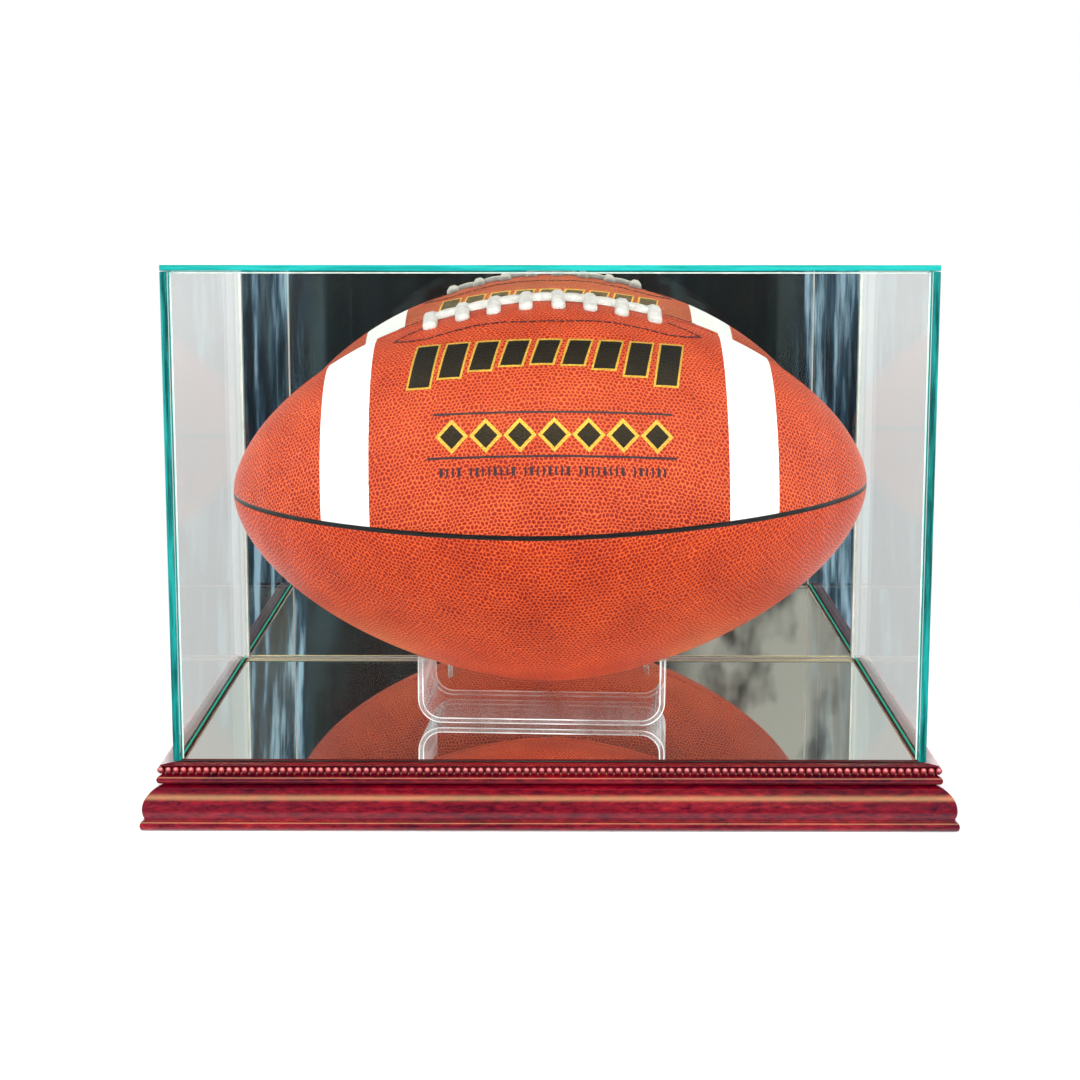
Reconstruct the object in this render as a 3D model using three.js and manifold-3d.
// Football display case: a lacquered moulding base with a mirror floor and a clear cradle,
// a lift-off glass cover with a mirror back, and the football on show.
// Millimetres. X is the width, Y runs from the front (-) to the back (+), Z is up, and the
// base stands on Z = 0.
import * as THREE from "three";
import { mergeVertices } from "three/addons/utils/BufferGeometryUtils.js";
import Module from "manifold-3d";

const wasm = await Module();
wasm.setup();

// Clearance between two pieces that touch.
const FIT = 0.3;

// Cover
const COVER_WIDTH = 309;
const COVER_DEPTH = 198;
const COVER_TOP = 228.4;
const PANE = 2.9;
const TOP_PANE = 2.3;
const ARRIS = 0.25;
const SEAL = 1.3;

// Base
const LEDGE_TOP = 25.7;
const LEDGE_INSIDE = 3.3;
const SHELF_INSIDE = 12;
const FLOOR_MIRROR = 3;
const BASE_BOARD = 6;
const MITRE_GAP = 0.3;

// Cradle
const CRADLE_CENTRE = [-2.2, -11.5];
const CRADLE_WIDTH = 108.4;
const CRADLE_DEPTH = 52;
const CRADLE_TOP = 55.5;
const CRADLE_SHEET = 2.4;
const CRADLE_BEND = 10.5;
const CRADLE_YAW = THREE.MathUtils.degToRad(-3.4);
const SADDLE_CLEARANCE = 0.4;

// Football
const BALL_LENGTH = 281;
const BALL_RADIUS = 85.9;
const BALL_CENTRE = [0, -7, 126.7];
const BALL_TILT = THREE.MathUtils.degToRad(-1);
const BALL_ROLL = THREE.MathUtils.degToRad(6);
const LEATHER = 3;
const BLADDER = 1.5;
const SEAM_GAP = 0.3;
const VALVE_RADIUS = 3;
const VALVE_DEPTH = 8;
const LACE_COUNT = 8;
const LACE_PITCH = 13.9;
const LACE_CENTRE = -2;
const LACE_WIDTH = 5.6;
const LACE_SPAN = 37;
const LACE_HEIGHT = 3;
const LACE_BAND_WIDTH = 8;
const LACE_BAND_HEIGHT = 1.9;

const part = new THREE.Group();

// Colour, roughness, metalness and opacity of each material.
const FINISHES = {
  lacquer: [0x6e1519, 0.16, 0, 1],
  board: [0x6b4a30, 0.85, 0, 1],
  mirror: [0xd5dadd, 0.04, 1, 1],
  glass: [0xa9dcd2, 0.03, 0, 0.3],
  silicone: [0xe6eae8, 0.35, 0, 0.6],
  acrylic: [0xeef3f5, 0.06, 0, 0.35],
  leather: [0xc9532b, 0.55, 0, 1],
  bladder: [0x2a2523, 0.7, 0, 1],
  lace: [0xeeece4, 0.6, 0, 1],
  valve: [0x201d1c, 0.6, 0, 1],
};

function addNode(name, geometry, finish) {
  const [color, roughness, metalness, opacity] = FINISHES[finish];
  const material = new THREE.MeshStandardMaterial({ color, roughness, metalness, opacity });
  material.transparent = opacity < 1;
  const mesh = new THREE.Mesh(geometry, material);
  mesh.name = name;
  part.add(mesh);
}

function solidFrom(geometry) {
  const bare = geometry.clone();
  bare.deleteAttribute("normal");
  bare.deleteAttribute("uv");
  const merged = mergeVertices(bare, 1e-4);
  const corners = merged.index.array;
  const kept = [];
  for (let i = 0; i < corners.length; i += 3) {
    const [a, b, c] = [corners[i], corners[i + 1], corners[i + 2]];
    if (a !== b && b !== c && c !== a) kept.push(a, b, c);
  }
  return new wasm.Manifold(
    new wasm.Mesh({
      numProp: 3,
      vertProperties: merged.attributes.position.array,
      triVerts: new Uint32Array(kept),
    }),
  );
}

function geometryFrom(solid) {
  const mesh = solid.getMesh();
  const geometry = new THREE.BufferGeometry();
  geometry.setAttribute("position", new THREE.BufferAttribute(mesh.vertProperties, 3));
  geometry.setIndex(new THREE.BufferAttribute(mesh.triVerts, 1));
  return geometry;
}

// Moves every vertex of a geometry by a function from a point to a point.
function reshape(geometry, move) {
  const position = geometry.attributes.position;
  for (let i = 0; i < position.count; i++) {
    position.setXYZ(i, ...move(position.getX(i), position.getY(i), position.getZ(i)));
  }
  return geometry;
}

// ---- Base ----

function arc(centreX, centreZ, radiusX, radiusZ, startDeg, endDeg, steps) {
  return Array.from({ length: steps + 1 }, (_, i) => {
    const angle = THREE.MathUtils.degToRad(startDeg + ((endDeg - startDeg) * i) / steps);
    return [centreX + radiusX * Math.cos(angle), centreZ + radiusZ * Math.sin(angle)];
  });
}

// Moulding section as distance outside the cover's face and height: a torus at the foot, a
// fillet, a large ovolo, a plain bead, the beaded row and the ledge the cover stands on.
function mouldingSection() {
  const shelf = LEDGE_TOP - FLOOR_MIRROR - BASE_BOARD - 2 * FIT;
  return [
    [-SHELF_INSIDE, 0],
    [11, 0],
    ...arc(11, 2, 1.3, 1.9, -85, 85, 5),
    [10.6, 4],
    ...arc(1.5, 8.4, 9.85, 9.3, -22, 76, 9),
    ...arc(4.6, 19.6, 1.57, 1.8, -75, 75, 5),
    ...arc(4.6, 23.65, 1.6, 2.0, -75, 80, 5),
    [4.4, LEDGE_TOP],
    [-LEDGE_INSIDE, LEDGE_TOP],
    [-LEDGE_INSIDE, shelf],
    [-SHELF_INSIDE, shelf],
  ];
}

// One side of the frame, facing -Y, with both ends mitred at 45 degrees.
function mouldingRail(halfLength, halfOffset) {
  const shape = new THREE.Shape(mouldingSection().map(([x, z]) => new THREE.Vector2(x, z)));
  const bar = new THREE.ExtrudeGeometry(shape, { depth: 1, steps: 1, bevelEnabled: false });
  return reshape(bar, (out, z, along) => {
    const reach = halfLength + out - MITRE_GAP / 2;
    return [(1 - 2 * along) * reach, -(halfOffset + out), z];
  });
}

function addBase() {
  const halfWidth = COVER_WIDTH / 2;
  const halfDepth = COVER_DEPTH / 2;
  const sides = [
    ["front", halfWidth, halfDepth, 0],
    ["right", halfDepth, halfWidth, Math.PI / 2],
    ["back", halfWidth, halfDepth, Math.PI],
    ["left", halfDepth, halfWidth, -Math.PI / 2],
  ];
  for (const [side, halfLength, halfOffset, turn] of sides) {
    const rail = mouldingRail(halfLength, halfOffset).rotateZ(turn);
    addNode("moulding_" + side, rail, "lacquer");
  }
  const inset = LEDGE_INSIDE + FIT;
  const sheets = [
    ["base_mirror", FLOOR_MIRROR, LEDGE_TOP, "mirror"],
    ["base_board", BASE_BOARD, LEDGE_TOP - FLOOR_MIRROR - FIT, "board"],
  ];
  for (const [name, thickness, top, finish] of sheets) {
    const sheet = sheetGeometry(COVER_WIDTH - 2 * inset, COVER_DEPTH - 2 * inset, thickness);
    sheet.translate(0, 0, top - thickness / 2);
    addNode(name, sheet, finish);
  }
}

// Flat sheet centred on the origin, width along X and depth along Y, with ground edges.
function sheetGeometry(width, depth, thickness) {
  const x = width / 2 - ARRIS;
  const y = depth / 2 - ARRIS;
  const outline = new THREE.Shape([
    new THREE.Vector2(-x, -y),
    new THREE.Vector2(x, -y),
    new THREE.Vector2(x, y),
    new THREE.Vector2(-x, y),
  ]);
  const sheet = new THREE.ExtrudeGeometry(outline, {
    depth: thickness - 2 * ARRIS,
    bevelEnabled: true,
    bevelThickness: ARRIS,
    bevelSize: ARRIS,
    bevelSegments: 1,
  });
  return sheet.translate(0, 0, ARRIS - thickness / 2);
}

// ---- Cover ----

function addPanes() {
  const bottom = LEDGE_TOP + FIT;
  const top = COVER_TOP - TOP_PANE - FIT;
  const height = top - bottom;
  const middle = (top + bottom) / 2;
  const sideX = COVER_WIDTH / 2 - PANE / 2;
  const faceY = COVER_DEPTH / 2 - PANE / 2;
  const betweenSides = COVER_WIDTH - 2 * (PANE + FIT);
  for (const [name, sign] of [["pane_left", -1], ["pane_right", 1]]) {
    const pane = sheetGeometry(height, COVER_DEPTH, PANE).rotateY(Math.PI / 2);
    addNode(name, pane.translate(sign * sideX, 0, middle), "glass");
  }
  for (const [name, sign, finish] of [["pane_front", -1, "glass"], ["mirror_back", 1, "mirror"]]) {
    const pane = sheetGeometry(betweenSides, height, PANE).rotateX(Math.PI / 2);
    addNode(name, pane.translate(0, sign * faceY, middle), finish);
  }
  const lid = sheetGeometry(COVER_WIDTH, COVER_DEPTH, TOP_PANE);
  addNode("pane_top", lid.translate(0, 0, COVER_TOP - TOP_PANE / 2), "glass");
}

// Silicone fillet with its corner at the origin, filling +X and +Y, running up +Z.
function sealGeometry(length) {
  const outline = new THREE.Shape();
  outline.moveTo(0, 0);
  outline.lineTo(SEAL, 0);
  outline.lineTo(SEAL * 0.62, SEAL * 0.14);
  outline.lineTo(SEAL * 0.3, SEAL * 0.3);
  outline.lineTo(SEAL * 0.14, SEAL * 0.62);
  outline.lineTo(0, SEAL);
  return new THREE.ExtrudeGeometry(outline, { depth: length, bevelEnabled: false });
}

function addSeals() {
  const insideX = COVER_WIDTH / 2 - PANE - FIT;
  const insideY = COVER_DEPTH / 2 - PANE - FIT;
  const bottom = LEDGE_TOP + 2 * FIT;
  const top = COVER_TOP - TOP_PANE - 2 * FIT;
  const corners = [
    ["seal_back_right", insideX, insideY, Math.PI],
    ["seal_back_left", -insideX, insideY, -Math.PI / 2],
    ["seal_front_left", -insideX, -insideY, 0],
    ["seal_front_right", insideX, -insideY, Math.PI / 2],
  ];
  for (const [name, x, y, turn] of corners) {
    addNode(name, sealGeometry(top - bottom).rotateZ(turn).translate(x, y, bottom), "silicone");
  }
  const trimmed = SEAL + FIT;
  const edges = [
    ["seal_top_front", insideX - trimmed, insideY, 0],
    ["seal_top_right", insideY - trimmed, insideX, Math.PI / 2],
    ["seal_top_back", insideX - trimmed, insideY, Math.PI],
    ["seal_top_left", insideY - trimmed, insideX, -Math.PI / 2],
  ];
  for (const [name, halfLength, offset, turn] of edges) {
    const seal = sealGeometry(2 * halfLength).translate(0, 0, -halfLength);
    seal.rotateX(Math.PI).rotateY(Math.PI / 2).rotateX(Math.PI / 2);
    seal.translate(0, -offset, top).rotateZ(turn);
    addNode(name, seal, "silicone");
  }
}

// ---- Football ----

// Radius at a station from -1 to 1 along the axis, as a fraction of the largest radius.
function shoulder(station) {
  const blend = 0.15;
  const rise = (t) => (t * t + blend * blend) ** 0.8 - blend ** 1.6;
  return Math.max(0, 1 - rise(station) / rise(1)) ** 0.57;
}

// Ball-shaped solid with its long axis on X.
function ballGeometry(length, radius, around = 32, along = 26) {
  const points = Array.from({ length: along + 1 }, (_, i) => {
    const station = -Math.cos((Math.PI * i) / along);
    return new THREE.Vector2(radius * shoulder(station), (station * length) / 2);
  });
  return new THREE.LatheGeometry(points, around).rotateZ(-Math.PI / 2);
}

function ballSolid(inset, around, along) {
  return solidFrom(ballGeometry(BALL_LENGTH - 2 * inset, BALL_RADIUS - inset, around, along));
}

// Moves a geometry from the football's own frame into place.
function placeBall(geometry) {
  geometry.rotateX(BALL_ROLL).rotateY(BALL_TILT);
  return geometry.translate(...BALL_CENTRE);
}

function valveSolid(radius) {
  const barrel = new THREE.CylinderGeometry(radius, radius, VALVE_DEPTH, 16);
  barrel.translate(0, BALL_RADIUS - VALVE_DEPTH / 2 - FIT, 0);
  return solidFrom(barrel.rotateX(THREE.MathUtils.degToRad(-45)));
}

function addPanels() {
  const opening = valveSolid(VALVE_RADIUS + FIT);
  const skin = ballSolid(0).subtract(ballSolid(LEATHER)).subtract(opening);
  const reach = 200;
  const quarters = [
    ["football_panel_back_top", 0],
    ["football_panel_front_top", 90],
    ["football_panel_front_bottom", 180],
    ["football_panel_back_bottom", 270],
  ];
  for (const [name, turn] of quarters) {
    const wedge = new THREE.BoxGeometry(2 * reach, reach, reach);
    wedge.translate(0, (reach + SEAM_GAP) / 2, (reach + SEAM_GAP) / 2);
    wedge.rotateX(THREE.MathUtils.degToRad(turn));
    const panel = geometryFrom(skin.intersect(solidFrom(wedge)));
    addNode(name, placeBall(panel), "leather");
  }
}

function addBladder() {
  const outside = LEATHER + FIT;
  const mouth = valveSolid(VALVE_RADIUS + FIT);
  const wall = ballSolid(outside).subtract(ballSolid(outside + BLADDER, 24, 18));
  addNode("football_bladder", placeBall(geometryFrom(wall.subtract(mouth))), "bladder");
  addNode("football_valve", placeBall(geometryFrom(valveSolid(VALVE_RADIUS))), "valve");
}

// Wraps a strip onto the leather: x along the ball, y around it from the lace seam, z outwards.
function wrapped(geometry, centreX) {
  return reshape(geometry, (x, y, z) => {
    const station = (2 * (x + centreX)) / BALL_LENGTH;
    const radius = BALL_RADIUS * shoulder(station) + FIT + z;
    const angle = y / BALL_RADIUS;
    return [x + centreX, radius * Math.sin(angle), radius * Math.cos(angle)];
  });
}

function laceStitch(centreX) {
  const bar = new THREE.BoxGeometry(LACE_WIDTH, LACE_SPAN, 1, 2, 12, 1);
  reshape(bar, (x, y, z) => {
    const end = Math.max(0, Math.abs(y) - LACE_SPAN / 2 + LACE_WIDTH / 2) / (LACE_WIDTH / 2);
    const taper = Math.sqrt(Math.max(0.12, 1 - end * end));
    const crown = 1 - 0.55 * (2 * x / LACE_WIDTH) ** 2;
    const top = LACE_HEIGHT * crown * (0.5 + 0.5 * taper);
    return [x * taper, y, z > 0 ? top : 0];
  });
  return solidFrom(wrapped(bar, centreX));
}

function addLace() {
  const length = LACE_PITCH * (LACE_COUNT - 1) + LACE_WIDTH * 0.6;
  const band = new THREE.BoxGeometry(length, LACE_BAND_WIDTH, 1, 28, 2, 1);
  reshape(band, (x, y, z) => [x, y, z > 0 ? LACE_BAND_HEIGHT - 0.05 * y * y : 0]);
  let lace = solidFrom(wrapped(band, LACE_CENTRE));
  for (let i = 0; i < LACE_COUNT; i++) {
    const centreX = LACE_CENTRE + (i - (LACE_COUNT - 1) / 2) * LACE_PITCH;
    lace = lace.add(laceStitch(centreX));
  }
  addNode("football_lace", placeBall(geometryFrom(lace)), "lace");
}

// ---- Cradle ----

// U-bent sheet whose two uprights are hollowed to the ball.
function addCradle() {
  const half = CRADLE_WIDTH / 2;
  const bottom = LEDGE_TOP + FIT;
  const inner = CRADLE_BEND - CRADLE_SHEET;
  const bendZ = bottom + CRADLE_BEND;
  const section = [
    ...arc(half - CRADLE_BEND, bendZ, CRADLE_BEND, CRADLE_BEND, -90, 0, 6),
    [half, CRADLE_TOP],
    [half - CRADLE_SHEET, CRADLE_TOP],
    ...arc(half - CRADLE_BEND, bendZ, inner, inner, 0, -90, 6),
    ...arc(CRADLE_BEND - half, bendZ, inner, inner, -90, -180, 6),
    [CRADLE_SHEET - half, CRADLE_TOP],
    [-half, CRADLE_TOP],
    ...arc(CRADLE_BEND - half, bendZ, CRADLE_BEND, CRADLE_BEND, 180, 270, 6),
  ];
  const outline = new THREE.Shape(section.map(([x, z]) => new THREE.Vector2(x, z)));
  const strip = new THREE.ExtrudeGeometry(outline, { depth: CRADLE_DEPTH, bevelEnabled: false });
  strip.rotateX(Math.PI / 2).translate(0, CRADLE_DEPTH / 2, 0);
  strip.rotateZ(CRADLE_YAW).translate(...CRADLE_CENTRE, 0);
  const envelope = placeBall(geometryFrom(ballSolid(-SADDLE_CLEARANCE, 72, 40)));
  const cradle = solidFrom(strip).subtract(solidFrom(envelope));
  addNode("cradle", geometryFrom(cradle), "acrylic");
}

addBase();
addCradle();
addPanes();
addSeals();
addPanels();
addBladder();
addLace();

export default part;
